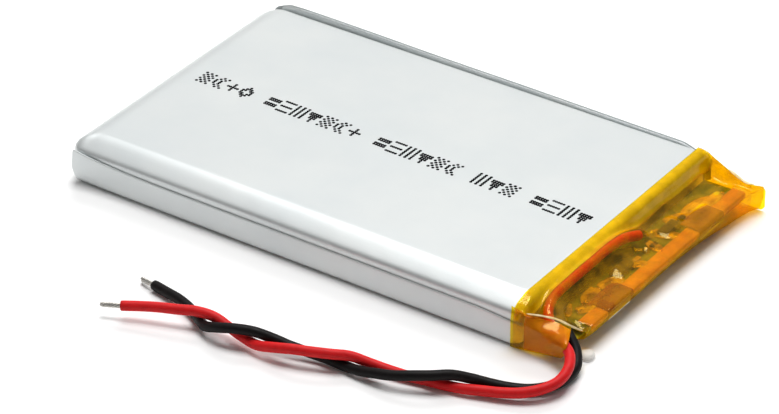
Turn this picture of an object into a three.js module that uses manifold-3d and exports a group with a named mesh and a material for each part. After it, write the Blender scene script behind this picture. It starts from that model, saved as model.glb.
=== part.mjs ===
// Protected lithium-polymer pouch cell with a wrapped protection board and two stripped leads.
// Millimetres. +X runs along the length towards the board end, +Y across the width, +Z up.
// The origin is under the middle of the cell, on the surface that it lies on.
import * as THREE from 'three';
import { mergeVertices } from 'three/addons/utils/BufferGeometryUtils.js';
import Module from 'manifold-3d';

const wasm = await Module();
wasm.setup();

// ---- driving dimensions -------------------------------------------------------------------
const LENGTH = 65.4;                 // folded end to the tip of the loose tape end
const WIDTH = 37;                    // over the folded side seams
const THICKNESS = 5;                 // underside to the flat face of the cup
const SHEET = 0.12;                  // aluminium laminate
const GAP = 0.02;                    // between neighbouring laminates
const TAPE = 0.1;                    // wound polyimide film

const FOLD_END = -LENGTH / 2;        // where the laminate is folded
const CUP_END = FOLD_END + 58.2;     // end wall of the drawn cup
const TAPE_START = FOLD_END + 57;
const RAMP_START = CUP_END - 1.7;    // the flat sheet rises from here to the terrace
const RAMP_END = CUP_END + 1;
const TERRACE_END = CUP_END + 4.7;
const TERRACE_Z = 1.02;              // underside of the sealed terrace
const TERRACE_HALF_WIDTH = 17;
const HALF = WIDTH / 2;

const CUP_HALF_WIDTH = 17.95;
const CUP_SIDE_ROUND = 1.6;          // long top edges
const CUP_FOLD_ROUND = 1.8;          // top edge at the folded end
const CUP_END_ROUND = 0.8;           // top edge at the board end
const CUP_CORNER = 2.4;              // corners seen from above
const NEAR_SEAM = 3.05;              // height of the folded side seams
const NEAR_SEAM_AT_FOLD = 3.6;
const FAR_SEAM = 5.3;
const FAR_SEAM_AT_TAPE = 4.6;
const SEAM_START = FOLD_END + 0.5;
const SEAM_END = CUP_END + 0.3;
const FOOT_BEVEL = 0.7;              // lower corner of each seam at the folded end
const RAMP_SLOPE = TERRACE_Z / (RAMP_END - RAMP_START);
const SEAM_END_Z = RAMP_SLOPE * (SEAM_END - RAMP_START) + 0.02;

const TAB_WIDTH = 4;
const TAB = 0.1;
const TAB_Z = TERRACE_Z + SHEET + GAP + 0.08;
const POSITIVE_TAB_Y = -8.5;
const NEGATIVE_TAB_Y = 9.5;
const TUNNEL_HALF_WIDTH = 2.6;       // where the terrace swells over a tab
const TUNNEL_RISE = 0.26;

const ROLL_START = FOLD_END + 2.2;
const ROLL_END = CUP_END - 2.3;
const ROLL_Z = 2.5;
const ROLL_CORE = 0.35;              // radius of the first turn
const ROLL_PITCH = 0.42;
const ROLL_TURNS = 3.5;
const ROLL_STRAIGHT = 15.2;          // half of the flat part of each turn

const BOARD_START = CUP_END + 0.5;
const BOARD_END = BOARD_START + 4.7;
const BOARD_NEAR = -14.4;
const BOARD_FAR = 16.6;
const BOARD_Z = 1.68;
const BOARD_TOP = 2.3;

const LEAD = 1.1;                    // outside diameter of the leads
const CORE = 0.6;                    // twisted conductor
const LEAD_SIDES = 8;

// ---- solids -------------------------------------------------------------------------------
const DIRECTIONS = {
  x: [[0, 1, 0], [0, 0, 1], [1, 0, 0]],
  y: [[1, 0, 0], [0, 0, 1], [0, -1, 0]],
  z: [[1, 0, 0], [0, 1, 0], [0, 0, 1]],
};

// Extrudes an outline along X (outline in Y, Z), Y (outline in X, Z) or Z (outline in X, Y).
function prism(outline, axis, from, to) {
  const shape = outline instanceof THREE.Shape
    ? outline : new THREE.Shape(outline.map(([a, b]) => new THREE.Vector2(a, b)));
  const geometry = new THREE.ExtrudeGeometry(shape, {
    depth: to - from, bevelEnabled: false, curveSegments: 6,
  });
  const [u, v, w] = DIRECTIONS[axis].map((d) => new THREE.Vector3(...d));
  geometry.applyMatrix4(new THREE.Matrix4().makeBasis(u, v, w));
  geometry.translate(...w.multiplyScalar(axis === 'y' ? -to : from).toArray());
  return geometry;
}

function block(x0, x1, y0, y1, z0, z1) {
  const geometry = new THREE.BoxGeometry(x1 - x0, y1 - y0, z1 - z0);
  return geometry.translate((x0 + x1) / 2, (y0 + y1) / 2, (z0 + z1) / 2);
}

function solid(geometry) {
  const bare = geometry.clone();
  bare.deleteAttribute('normal');
  bare.deleteAttribute('uv');
  const merged = mergeVertices(bare, 1e-5);
  return new wasm.Manifold(new wasm.Mesh({
    numProp: 3,
    vertProperties: new Float32Array(merged.attributes.position.array),
    triVerts: new Uint32Array(merged.index.array),
  }));
}

function surface(manifold) {
  const mesh = manifold.getMesh();
  const geometry = new THREE.BufferGeometry();
  geometry.setAttribute('position', new THREE.BufferAttribute(mesh.vertProperties, 3));
  geometry.setIndex(new THREE.BufferAttribute(mesh.triVerts, 1));
  geometry.computeVertexNormals();
  return geometry;
}

function common(...geometries) {
  return geometries.map(solid).reduce((a, b) => a.intersect(b));
}

function joined(...geometries) {
  return geometries.map(solid).reduce((a, b) => a.add(b));
}

// The outline of a strip of the given thickness along a bent line, thickened to its left.
function strip(line, thickness) {
  const side = line.map(([x, z], i) => {
    const [ax, az] = line[Math.max(i - 1, 0)];
    const [bx, bz] = line[Math.min(i + 1, line.length - 1)];
    const before = new THREE.Vector2(x - ax, z - az).normalize();
    const after = new THREE.Vector2(bx - x, bz - z).normalize();
    const along = before.clone().add(after).normalize();
    const bend = before.lengthSq() && after.lengthSq() ? along.dot(before) : 1;
    return [x - along.y * thickness / bend, z + along.x * thickness / bend];
  });
  return [...line, ...side.reverse()];
}

function roundedPlan(x0, x1, y0, y1, r) {
  const shape = new THREE.Shape();
  shape.moveTo(x0 + r, y0);
  shape.lineTo(x1 - r, y0);
  shape.absarc(x1 - r, y0 + r, r, -Math.PI / 2, 0);
  shape.lineTo(x1, y1 - r);
  shape.absarc(x1 - r, y1 - r, r, 0, Math.PI / 2);
  shape.lineTo(x0 + r, y1);
  shape.absarc(x0 + r, y1 - r, r, Math.PI / 2, Math.PI);
  shape.lineTo(x0, y0 + r);
  shape.absarc(x0 + r, y0 + r, r, Math.PI, Math.PI * 1.5);
  return shape;
}

// A box outline whose two upper corners are rounded with their own radii.
function domedOutline(a0, a1, bottom, top, r0, r1) {
  const shape = new THREE.Shape();
  shape.moveTo(a0, bottom);
  shape.lineTo(a1, bottom);
  shape.lineTo(a1, top - r1);
  shape.absarc(a1 - r1, top - r1, r1, 0, Math.PI / 2);
  shape.lineTo(a0 + r0, top);
  shape.absarc(a0 + r0, top - r0, r0, Math.PI / 2, Math.PI);
  return shape;
}

function tube(points, diameter, stepsPerPoint) {
  const curve = new THREE.CatmullRomCurve3(points.map((p) => new THREE.Vector3(...p)));
  const section = new THREE.Shape();
  for (let i = 0; i < LEAD_SIDES; i += 1) {
    const angle = (i / LEAD_SIDES) * Math.PI * 2;
    const [a, b] = [Math.cos(angle) * diameter / 2, Math.sin(angle) * diameter / 2];
    if (i) section.lineTo(a, b); else section.moveTo(a, b);
  }
  return new THREE.ExtrudeGeometry(section, {
    steps: Math.round((points.length - 1) * stepsPerPoint), extrudePath: curve,
  });
}

// ---- finishes -----------------------------------------------------------------------------
function finish(color, roughness, metalness = 0) {
  return new THREE.MeshStandardMaterial({ color, roughness, metalness });
}
const laminate = finish(0xdfe4e6, 0.35, 0.6);
const film = finish(0xe8a312, 0.2);
const copper = finish(0xb4713d, 0.4, 0.8);
const graphite = finish(0x2c2c2e, 0.7);
const separatorWhite = finish(0xf0f0ec, 0.6);
const nickel = finish(0xb9b7ae, 0.3, 0.9);
const aluminium = finish(0xcfd1d2, 0.35, 0.9);
const sealant = finish(0xe9e4d4, 0.5);
const maskGreen = finish(0x2f5a2c, 0.45);
const epoxy = finish(0x17181a, 0.5);
const ceramic = finish(0xa98f68, 0.5);
const solder = finish(0xc9c8c2, 0.25, 0.9);
const redVinyl = finish(0xd0161c, 0.4);
const blackVinyl = finish(0x141212, 0.4);
const clearGlue = finish(0xe6ddcc, 0.4);

const cell = new THREE.Group();
cell.name = 'pouch_battery_cell';

function add(name, geometry, material) {
  const mesh = new THREE.Mesh(geometry, material);
  mesh.name = name;
  cell.add(mesh);
}

// ---- pouch: a flat sheet with folded side seams, and the cup drawn upwards from it ----------
const FLANGE_Z = SHEET + GAP;                        // the cup's flange lies on the flat sheet
const TERRACE_TOP = TERRACE_Z + SHEET + GAP;         // and on it again at the terrace

function baseSheet() {
  const bottom = block(FOLD_END, RAMP_START, -HALF, HALF, 0, SHEET);
  const ramp = prism(strip([
    [RAMP_START - SHEET, 0], [RAMP_START, 0], [RAMP_END, TERRACE_Z], [TERRACE_END, TERRACE_Z],
  ], SHEET), 'y', -TERRACE_HALF_WIDTH, TERRACE_HALF_WIDTH);
  const foot = [
    [SEAM_START, FOOT_BEVEL], [SEAM_START + FOOT_BEVEL, 0], [RAMP_START, 0], [SEAM_END, SEAM_END_Z],
  ];
  const nearSeam = prism([
    ...foot, [SEAM_END, NEAR_SEAM - 0.5], [CUP_END - 1, NEAR_SEAM], [FOLD_END + 8, NEAR_SEAM],
    [SEAM_START + 0.2, NEAR_SEAM_AT_FOLD], [SEAM_START, NEAR_SEAM_AT_FOLD - 0.3],
  ], 'y', -HALF, -HALF + SHEET);
  const farSeam = prism([
    ...foot, [SEAM_END, FAR_SEAM_AT_TAPE - 1.2], [TAPE_START - 0.3, FAR_SEAM_AT_TAPE],
    [CUP_END - 4.4, FAR_SEAM - 0.2], [SEAM_START + FOOT_BEVEL, FAR_SEAM],
    [SEAM_START, FAR_SEAM - 0.6],
  ], 'y', HALF - SHEET, HALF);
  return surface(joined(bottom, ramp, nearSeam, farSeam));
}

// The cup's own side flange: a foot on the flat sheet and a wall inside that sheet's seam.
function cupFlange(side, height, heightAtFold, heightAtTape) {
  const outer = HALF - SHEET - GAP;
  const start = FOLD_END + 1;
  const footEnd = RAMP_START - 0.4;
  const end = SEAM_END - 0.2;
  const wall = prism([
    [start, FLANGE_Z], [footEnd, FLANGE_Z], [end, FLANGE_Z + 0.8], [end, heightAtTape - 1.3],
    [CUP_END - 1.6, heightAtTape - 0.1], [CUP_END - 4.6, height - 0.2],
    [start, heightAtFold - 0.1],
  ], 'y', side > 0 ? outer - SHEET : -outer, side > 0 ? outer : -outer + SHEET);
  const y0 = side > 0 ? CUP_HALF_WIDTH - SHEET : -outer;
  const y1 = side > 0 ? outer : -CUP_HALF_WIDTH + SHEET;
  const foot = block(start, footEnd, y0, y1, FLANGE_Z, FLANGE_Z + SHEET);
  return solid(wall).add(solid(foot));
}

function cup() {
  const shell = (inset) => {
    const half = CUP_HALF_WIDTH - inset;
    const [x0, x1, top] = [FOLD_END + inset, CUP_END - inset, THICKNESS - inset];
    const floor = FLANGE_Z - (inset ? 1 : 0);
    return common(
      prism(roundedPlan(x0, x1, -half, half, CUP_CORNER - inset), 'z', floor, top),
      prism(domedOutline(x0, x1, floor, top, CUP_FOLD_ROUND - inset, CUP_END_ROUND - inset), 'y',
        -half, half),
      prism(domedOutline(-half, half, floor, top, CUP_SIDE_ROUND - inset, CUP_SIDE_ROUND - inset),
        'x', x0, x1),
    );
  };
  const terrace = prism([
    [CUP_END - SHEET, TERRACE_TOP - 0.6], [RAMP_END, TERRACE_TOP], [TERRACE_END, TERRACE_TOP],
    [TERRACE_END, TERRACE_TOP + SHEET], [CUP_END - SHEET, TERRACE_TOP + SHEET],
  ], 'y', -TERRACE_HALF_WIDTH, TERRACE_HALF_WIDTH);
  const underRamp = prism([
    [RAMP_START - 0.2, FLANGE_Z - 0.2], [RAMP_START, FLANGE_Z], [RAMP_END, TERRACE_TOP],
    [TERRACE_END + 1, TERRACE_TOP], [TERRACE_END + 1, -1], [RAMP_START - 0.2, -1],
  ], 'y', -HALF, HALF);
  let body = shell(0).subtract(shell(SHEET));
  body = body.add(cupFlange(-1, NEAR_SEAM, NEAR_SEAM_AT_FOLD, NEAR_SEAM));
  body = body.add(cupFlange(1, FAR_SEAM, FAR_SEAM, FAR_SEAM_AT_TAPE));
  body = body.add(solid(terrace)).subtract(solid(underRamp));
  for (const y of [POSITIVE_TAB_Y, NEGATIVE_TAB_Y]) {
    const [y0, y1] = [y - TUNNEL_HALF_WIDTH, y + TUNNEL_HALF_WIDTH];
    const top = TERRACE_TOP + TUNNEL_RISE;
    body = body.add(solid(block(CUP_END - SHEET, TERRACE_END, y0 - SHEET, y1 + SHEET,
      TERRACE_TOP, top + SHEET)));
    body = body.subtract(solid(block(CUP_END - 1, TERRACE_END + 1, y0, y1, TERRACE_TOP - 1, top)));
  }
  return surface(body);
}

add('pouch_base_sheet', baseSheet(), laminate);
add('pouch_cup', cup(), laminate);

// ---- winding: four strips wound together around a flat core ---------------------------------
function windingLayer(offset, thickness) {
  const side = (extra) => {
    const points = [];
    const steps = 10;
    for (let half = 0; half < ROLL_TURNS * 2; half += 1) {
      const centre = half % 2 ? -ROLL_STRAIGHT : ROLL_STRAIGHT;
      for (let i = 0; i <= steps; i += 1) {
        const turn = half / 2 + i / steps / 2;
        const radius = ROLL_CORE + offset + extra + ROLL_PITCH * turn;
        const angle = turn * Math.PI * 2 - Math.PI / 2;
        points.push([centre + radius * Math.cos(angle), ROLL_Z + radius * Math.sin(angle)]);
      }
    }
    return points;
  };
  return prism([...side(0), ...side(thickness).reverse()], 'x', ROLL_START, ROLL_END);
}

const FOIL = 0.14;                           // coated foil, with its share of the missing turns
const SEPARATOR = 0.05;
const LAYER_GAP = 0.01;
const LAYERS = [
  ['cathode_foil', FOIL, graphite], ['separator_inner', SEPARATOR, separatorWhite],
  ['anode_foil', FOIL, copper], ['separator_outer', SEPARATOR, separatorWhite],
];
let layerOffset = 0;
for (const [name, thickness, material] of LAYERS) {
  add(name, windingLayer(layerOffset, thickness), material);
  layerOffset += thickness + LAYER_GAP;
}
const ROLL_TOP = ROLL_Z + ROLL_CORE + ROLL_PITCH * (ROLL_TURNS + 1);
add('winding_tape', block(ROLL_START + 8, ROLL_END - 8, ROLL_STRAIGHT - 9, ROLL_STRAIGHT,
  ROLL_TOP + 0.02, ROLL_TOP + 0.07), separatorWhite);

// ---- tabs: out of the winding, through the terrace, and back over the board -----------------
function tab(y) {
  const line = [
    [ROLL_START + 20, ROLL_Z], [CUP_END - 1.6, ROLL_Z], [CUP_END - 0.5, TAB_Z + 0.12],
    [CUP_END + 0.2, TAB_Z], [BOARD_END + 0.25, TAB_Z], [BOARD_END + 0.25, BOARD_TOP + 0.13],
    [BOARD_END - 1.9, BOARD_TOP + 0.13],
  ];
  return prism(strip(line, TAB), 'y', y - TAB_WIDTH / 2, y + TAB_WIDTH / 2);
}

function tabSeal(y) {
  const [x0, x1] = [CUP_END + 1.1, TERRACE_END - 0.4];
  const half = TUNNEL_HALF_WIDTH - 0.1;
  const outer = block(x0, x1, y - half, y + half, TAB_Z - 0.05, TAB_Z + TAB + 0.06);
  const slot = block(x0 - 1, x1 + 1, y - TAB_WIDTH / 2 - 0.02, y + TAB_WIDTH / 2 + 0.02,
    TAB_Z - 0.02, TAB_Z + TAB + 0.02);
  return surface(solid(outer).subtract(solid(slot)));
}

add('positive_tab', tab(POSITIVE_TAB_Y), aluminium);
add('negative_tab', tab(NEGATIVE_TAB_Y), nickel);
add('positive_tab_seal', tabSeal(POSITIVE_TAB_Y), sealant);
add('negative_tab_seal', tabSeal(NEGATIVE_TAB_Y), sealant);

// ---- protection board -----------------------------------------------------------------------
add('board_pad', block(BOARD_START + 0.2, BOARD_END - 0.3, BOARD_NEAR + 1, BOARD_FAR - 1,
  TERRACE_TOP + TUNNEL_RISE + SHEET + 0.02, BOARD_Z - 0.02), sealant);
add('circuit_board', block(BOARD_START, BOARD_END, BOARD_NEAR, BOARD_FAR, BOARD_Z, BOARD_TOP),
  maskGreen);

// A small plastic package with three bent legs on each of its two long sides.
function package6(x, y, length, width, height) {
  const foot = BOARD_TOP + GAP;
  const pieces = [block(x - width / 2, x + width / 2, y - length / 2, y + length / 2,
    foot + 0.05, foot + 0.05 + height)];
  for (const side of [-1, 1]) {
    for (const pitch of [-0.95, 0, 0.95]) {
      const reach = x + side * (width / 2 + 0.3);
      const root = x + side * (width / 2 - 0.1);
      pieces.push(block(Math.min(reach, root), Math.max(reach, root),
        y + pitch - 0.18, y + pitch + 0.18, foot, foot + 0.15));
    }
  }
  return surface(joined(...pieces));
}

function chip(x, y, alongY, height) {
  const [a, b] = alongY ? [0.25, 0.5] : [0.5, 0.25];
  const foot = BOARD_TOP + GAP;
  return block(x - a, x + a, y - b, y + b, foot, foot + height);
}

const PARTS_X = BOARD_START + 2.1;           // middle line of the parts on the board
add('protection_ic', package6(PARTS_X, 5.7, 2.9, 1.1, 0.5), epoxy);
add('dual_mosfet', package6(PARTS_X, -3.6, 3.0, 1.1, 0.5), epoxy);
add('sense_resistor', chip(PARTS_X + 0.3, 2.3, true, 0.3), epoxy);
add('filter_resistor', chip(PARTS_X, 8.3, true, 0.3), epoxy);
add('filter_capacitor', chip(PARTS_X + 0.35, -1.2, true, 0.4), ceramic);

// ---- leads ----------------------------------------------------------------------------------
const RED_ROUTE = [
  [26.85, 1.9, 3.35], [26.4, 0, 3.85], [26.15, -2, 4.05], [26.1, -4, 4.15], [26.1, -6, 4.15],
  [26.1, -8, 4.1], [26.1, -10, 4.1], [26.1, -12.05, 4.05], [26.25, -14.05, 3.8], [27, -15.85, 3.3],
  [28.4, -17.15, 2.75], [30.1, -18.1, 2.45], [31.7, -19.2, 2.2], [32.65, -20.9, 1.85],
  [32.8, -22.85, 1.5], [32, -24.65, 1.25], [30.55, -26, 1], [28.75, -26.95, 0.85],
  [26.85, -27.65, 0.75], [25, -28.3, 0.65], [23, -28.75, 0.6], [21.05, -29.1, 0.6],
  [19.05, -29.5, 0.6], [17.1, -29.8, 0.7], [15.2, -30.35, 1.1], [13.4, -31.1, 1.65],
  [11.7, -32.15, 1.85], [9.85, -33, 1.9], [7.95, -33.6, 1.8], [6, -33.95, 1.45], [4.05, -34, 1],
  [2.05, -33.6, 0.9], [0.1, -33.3, 1.2], [-1.85, -33.25, 1.75], [-3.75, -33.65, 1.95],
  [-5.65, -34.35, 1.85], [-7.55, -35, 1.75], [-9.45, -35.75, 1.6], [-11.25, -36.6, 1.45],
];
const BLACK_ROUTE = [
  [27.35, -0.5, 2.9], [26.65, -2.4, 3], [26.45, -4.35, 3], [26.45, -6.35, 3], [26.45, -8.35, 2.95],
  [26.45, -10.35, 2.95], [26.65, -12.3, 2.95], [27.3, -14.2, 3], [28.5, -15.75, 2.95],
  [30.1, -16.7, 2.4], [31.45, -17.55, 1.6], [32.45, -19.15, 0.9], [32.5, -21.2, 0.65],
  [31.85, -23.05, 0.6], [30.55, -24.55, 0.6], [28.8, -25.5, 0.65], [26.95, -26.25, 0.85],
  [25.25, -27.15, 1.3], [23.7, -28.25, 1.75], [22.15, -29.6, 1.85], [20.45, -30.6, 1.75],
  [18.6, -31.3, 1.45], [16.65, -31.55, 1.1], [14.7, -31.65, 0.75], [12.75, -31.55, 0.6],
  [10.75, -31.6, 0.65], [8.8, -31.9, 0.8], [6.85, -32.35, 1.1], [5, -32.85, 1.6],
  [3.2, -33.5, 2.05], [1.35, -34.2, 2.1], [-0.6, -34.5, 1.65], [-2.45, -34.15, 0.95],
  [-4.1, -33.1, 0.7], [-5.85, -32.15, 0.7], [-7.75, -31.5, 0.75], [-9.7, -31.05, 0.65],
  [-11.65, -30.65, 0.6],
];
const RED_TIP = [[-11.3, -36.65, 1.45], [-12.3, -37.05, 1.4], [-13.3, -37.5, 1.35]];
const BLACK_TIP = [[-11.7, -30.68, 0.6], [-12.7, -30.5, 0.5], [-13.6, -30.3, 0.4]];
const RED_ROOT = [[27.1, 3.4, 2.75], [27.0, 2.75, 2.95], [26.85, 2.05, 3.28]];
const BLACK_ROOT = [[28.0, 0.3, 2.75], [27.75, 0.0, 2.82], [27.48, -0.38, 2.93]];

add('red_lead', tube(RED_ROUTE, LEAD, 1.6), redVinyl);
add('black_lead', tube(BLACK_ROUTE, LEAD, 1.6), blackVinyl);
add('red_lead_tip', tube(RED_TIP, CORE, 2), solder);
add('black_lead_tip', tube(BLACK_TIP, CORE, 2), solder);
add('red_lead_root', tube(RED_ROOT, CORE * 0.8, 2), solder);
add('black_lead_root', tube(BLACK_ROOT, CORE * 0.8, 2), solder);

function solderJoint([x, y, z]) {
  const [radius, height] = [0.45, z - BOARD_TOP - GAP + 0.2];
  const profile = [[0, 0], [radius, 0], [radius * 0.85, height * 0.4], [radius * 0.5, height * 0.85],
    [0, height]].map(([a, b]) => new THREE.Vector2(a, b));
  const dome = new THREE.LatheGeometry(profile, 12).rotateX(Math.PI / 2);
  return dome.translate(x, y, BOARD_TOP + GAP);
}
add('red_solder_joint', solderJoint([27.1, 3.95, 2.7]), solder);
add('black_solder_joint', solderJoint([28.25, 0.95, 2.7]), solder);

// ---- polyimide tape: a cap over the end of the cup, open towards the cup and at the lead mouth
function tapeCap() {
  const roof = BOARD_TOP + 0.34;
  const underside = TERRACE_Z - 0.14;
  const side = HALF + 0.12;
  const outline = (inset) => {
    const start = TAPE_START - (inset ? 1 : 0);
    return [
      [start, THICKNESS + 0.12 - inset], [CUP_END - 0.6, THICKNESS + 0.12 - inset],
      [CUP_END, THICKNESS - 0.05 - inset], [CUP_END + 1.2, THICKNESS - 0.15 - inset],
      [CUP_END + 1.9, 4.3 - inset], [CUP_END + 3.6, roof - inset],
      [BOARD_END + 0.55 - inset, roof - inset], [BOARD_END + 0.55 - inset, underside + inset],
      [RAMP_END, underside + inset], [start, underside + inset - RAMP_SLOPE * (RAMP_END - start)],
    ];
  };
  const plan = (inset) => {
    const [start, end] = [TAPE_START - (inset ? 1 : 0), BOARD_END + 0.6];
    return [
      [start, inset - side], [CUP_END + 0.4, inset - side], [end, inset - HALF + 1.7],
      [end, HALF - 0.4 - inset], [CUP_END + 0.4, side - inset], [start, side - inset],
    ];
  };
  const form = (inset) => common(
    prism(outline(inset), 'y', -HALF - 1, HALF + 1),
    prism(plan(inset), 'z', -1, THICKNESS + 1),
  );
  const mouth = block(CUP_END + 2.2, BOARD_END + 1, -HALF - 1, -15, 1.2, 3.7);
  const looseEnd = block(BOARD_END + 0.5, LENGTH / 2, HALF - 0.7, HALF - 0.6, 0.3, 2.75);
  return surface(form(0).subtract(form(TAPE)).subtract(solid(mouth)).add(solid(looseEnd)));
}
add('polyimide_tape', tapeCap(), film);

// Shorter pieces of tape wound over the folded tabs before the end is wrapped.
function tapeBand(y) {
  const line = [[BOARD_END - 2.3, BOARD_TOP + 0.2], [BOARD_END + 0.4, BOARD_TOP + 0.2],
    [BOARD_END + 0.4, TERRACE_Z + 0.02]];
  return prism(strip(line.reverse(), 0.04), 'y', y - 2.5, y + 2.5);
}
add('tape_band_near', tapeBand(POSITIVE_TAB_Y), film);
add('tape_band_far', tapeBand(NEGATIVE_TAB_Y), film);

function glueDab() {
  const profile = [[0, 0], [0.8, 0.05], [0.85, 0.3], [0.45, 0.6], [0, 0.7]]
    .map(([a, b]) => new THREE.Vector2(a, b));
  const dab = new THREE.LatheGeometry(profile, 14).rotateX(Math.PI / 2);
  return dab.translate(31.75, -15.9, 0.02);
}
add('glue_dab', glueDab(), clearGlue);

export default cell;
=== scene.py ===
"""The looks of the pouch battery cell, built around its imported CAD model.

Shapes are worked out in millimetres in the CAD frame (+X towards the board end, +Y across,
+Z up), and add_mesh() turns them into metres.
"""
import math

import bmesh
import bpy
import numpy as np
from mathutils import Matrix, Vector, noise


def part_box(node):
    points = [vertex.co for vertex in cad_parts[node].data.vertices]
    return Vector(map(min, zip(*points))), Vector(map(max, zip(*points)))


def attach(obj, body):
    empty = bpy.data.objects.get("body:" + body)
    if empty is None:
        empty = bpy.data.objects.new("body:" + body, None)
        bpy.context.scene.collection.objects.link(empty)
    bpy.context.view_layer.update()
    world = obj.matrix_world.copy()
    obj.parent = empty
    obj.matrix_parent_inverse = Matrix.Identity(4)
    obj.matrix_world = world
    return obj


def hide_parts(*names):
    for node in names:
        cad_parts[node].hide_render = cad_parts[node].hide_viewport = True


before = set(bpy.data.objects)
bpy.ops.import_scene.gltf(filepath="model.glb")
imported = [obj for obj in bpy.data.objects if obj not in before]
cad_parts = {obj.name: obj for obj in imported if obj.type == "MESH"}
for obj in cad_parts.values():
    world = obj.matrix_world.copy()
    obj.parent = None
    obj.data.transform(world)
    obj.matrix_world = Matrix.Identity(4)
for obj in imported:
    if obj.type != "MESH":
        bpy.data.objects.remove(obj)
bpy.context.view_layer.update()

MM = 0.001


def corners(node):
    """The lowest and highest corner of a CAD node, in millimetres."""
    return [np.array(corner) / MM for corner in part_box(node)]


# ---- sizes taken from the frame ----
BASE_LOW, BASE_HIGH = corners("pouch_base_sheet")
BOARD_LOW, BOARD_HIGH = corners("circuit_board")
TAPE_LOW, TAPE_HIGH = corners("polyimide_tape")
FOLD_END = BASE_LOW[0]               # where the laminate is folded
TERRACE_END = BASE_HIGH[0]
HALF = BASE_HIGH[1]                  # half width over the side seams
TAPE_START = TAPE_LOW[0]
BOARD_TOP = BOARD_HIGH[2]

# ---- sizes of the laminate ----
TOP = 5.0                            # flat face of the cup
SHEET = 0.12
CUP_END = TAPE_START + 1.2
CUP_HALF = HALF - 0.45
CUP_FOOT = 0.28
TERRACE_TOP = 1.16
RAMP_START = CUP_END - 1.7
RAMP_END = CUP_END + 1.0
RAMP_RISE = 1.02
FOLD_RADIUS = 0.35                   # where the side seams are folded up
NEAR_TAB, FAR_TAB = -8.5, 9.5        # middles of the two tabs across the width


# ---- small tools ----
def smoothstep(low, high, value):
    t = np.clip((np.asarray(value, float) - low) / (high - low), 0, 1)
    return t * t * (3 - 2 * t)


def ease(points, value):
    """A smooth height over a row of (position, height) points."""
    places, heights = zip(*points)
    value = float(value)
    if value <= places[0]:
        return heights[0]
    for (a, low), (b, high) in zip(points, points[1:]):
        if value <= b:
            return low + (high - low) * float(smoothstep(a, b, value))
    return heights[-1]


def bend(points, value):
    """Straight lines between (position, height) points."""
    places, heights = zip(*points)
    return float(np.interp(value, places, heights))


def spline(points, spacing):
    """Points at even spacing along the centripetal curve through the given points."""
    p = np.array(points, float)
    p = np.vstack([2 * p[0] - p[1], p, 2 * p[-1] - p[-2]])
    dense = []
    for a, b, c, d in zip(p, p[1:], p[2:], p[3:]):
        t = np.cumsum([0] + [np.linalg.norm(w - v) ** 0.5 for v, w in ((a, b), (b, c), (c, d))])
        for u in np.linspace(t[1], t[2], 24, endpoint=False):
            ab = a + (b - a) * (u - t[0]) / (t[1] - t[0])
            bc = b + (c - b) * (u - t[1]) / (t[2] - t[1])
            cd = c + (d - c) * (u - t[2]) / (t[3] - t[2])
            abc = ab + (bc - ab) * (u - t[0]) / (t[2] - t[0])
            bcd = bc + (cd - bc) * (u - t[1]) / (t[3] - t[1])
            dense.append(abc + (bcd - abc) * (u - t[1]) / (t[2] - t[1]))
    dense = np.array(dense + [p[-2]])
    run = np.concatenate([[0], np.cumsum(np.linalg.norm(np.diff(dense, axis=0), axis=1))])
    stops = np.linspace(0, run[-1], max(int(run[-1] / spacing), 2) + 1)
    return np.stack([np.interp(stops, run, dense[:, k]) for k in range(3)], 1)


def rough(x, y, z, size, seed=0):
    """Smooth noise from -1 to 1 with lumps of about the given size."""
    return noise.noise(Vector((x / size + seed * 7.3, y / size - seed * 3.1, z / size + seed)))


def crumple(x, y, size, seed=0):
    """Noise with sharp ridges and flat facets, as in creased film, from 0 to 1."""
    return 1 - abs(rough(x, y, 0, size, seed)) * 2


def grid_faces(rows, columns, start=0, around=False):
    """Faces of a grid whose first point has the given number. around joins last to first."""
    faces = []
    for i in range(rows - 1):
        for j in range(columns if around else columns - 1):
            k = (j + 1) % columns
            a, b = start + i * columns, start + (i + 1) * columns
            faces.append((a + j, a + k, b + k, b + j))
    return faces


def add_mesh(name, points, faces, material, replaces=(), smooth=True, outward=True):
    """A piece that rides on the cell, from points in millimetres."""
    mesh = bpy.data.meshes.new(name)
    mesh.from_pydata([tuple(np.array(p) * MM) for p in points], [], faces)
    form = bmesh.new()
    form.from_mesh(mesh)
    bmesh.ops.remove_doubles(form, verts=form.verts, dist=0.0005 * MM)
    if outward:
        bmesh.ops.recalc_face_normals(form, faces=form.faces)
    form.to_mesh(mesh)
    form.free()
    mesh.polygons.foreach_set("use_smooth", [smooth] * len(mesh.polygons))
    mesh.materials.append(material)
    piece = bpy.data.objects.new(name, mesh)
    bpy.context.scene.collection.objects.link(piece)
    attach(piece, "root")
    if replaces:
        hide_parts(*replaces)
    return piece


def thicken(piece, thickness, offset=-1.0):
    """Give a sheet its thickness, inwards from its faces or, with offset 0, to both sides."""
    solidify = piece.modifiers.new("thickness", "SOLIDIFY")
    solidify.thickness = thickness * MM
    solidify.offset = offset
    solidify.use_even_offset = False
    return piece


def refine(piece):
    subdivision = piece.modifiers.new("smooth", "SUBSURF")
    subdivision.levels = 1
    subdivision.render_levels = 1
    return piece


def add_film(name, points, faces, material, thickness, replaces=()):
    """A piece of tape, which keeps the facing of its faces and is as thick on both sides."""
    piece = add_mesh(name, points, faces, material, replaces, outward=False)
    return thicken(piece, thickness, 0)


def tube(path, radius, sides):
    """Rings of points round a path. radius is a number or one for each point."""
    path = np.array(path)
    radius = np.broadcast_to(radius, len(path))
    ahead = np.gradient(path, axis=0)
    ahead /= np.linalg.norm(ahead, axis=1)[:, None]
    side = np.cross(ahead[0], (0, 0, 1.0))
    rings = []
    for point, along, r in zip(path, ahead, radius):
        side = side - along * side.dot(along)
        side /= np.linalg.norm(side)
        up = np.cross(along, side)
        for k in range(sides):
            angle = 2 * math.pi * k / sides
            rings.append(point + r * (math.cos(angle) * side + math.sin(angle) * up))
    return rings


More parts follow.
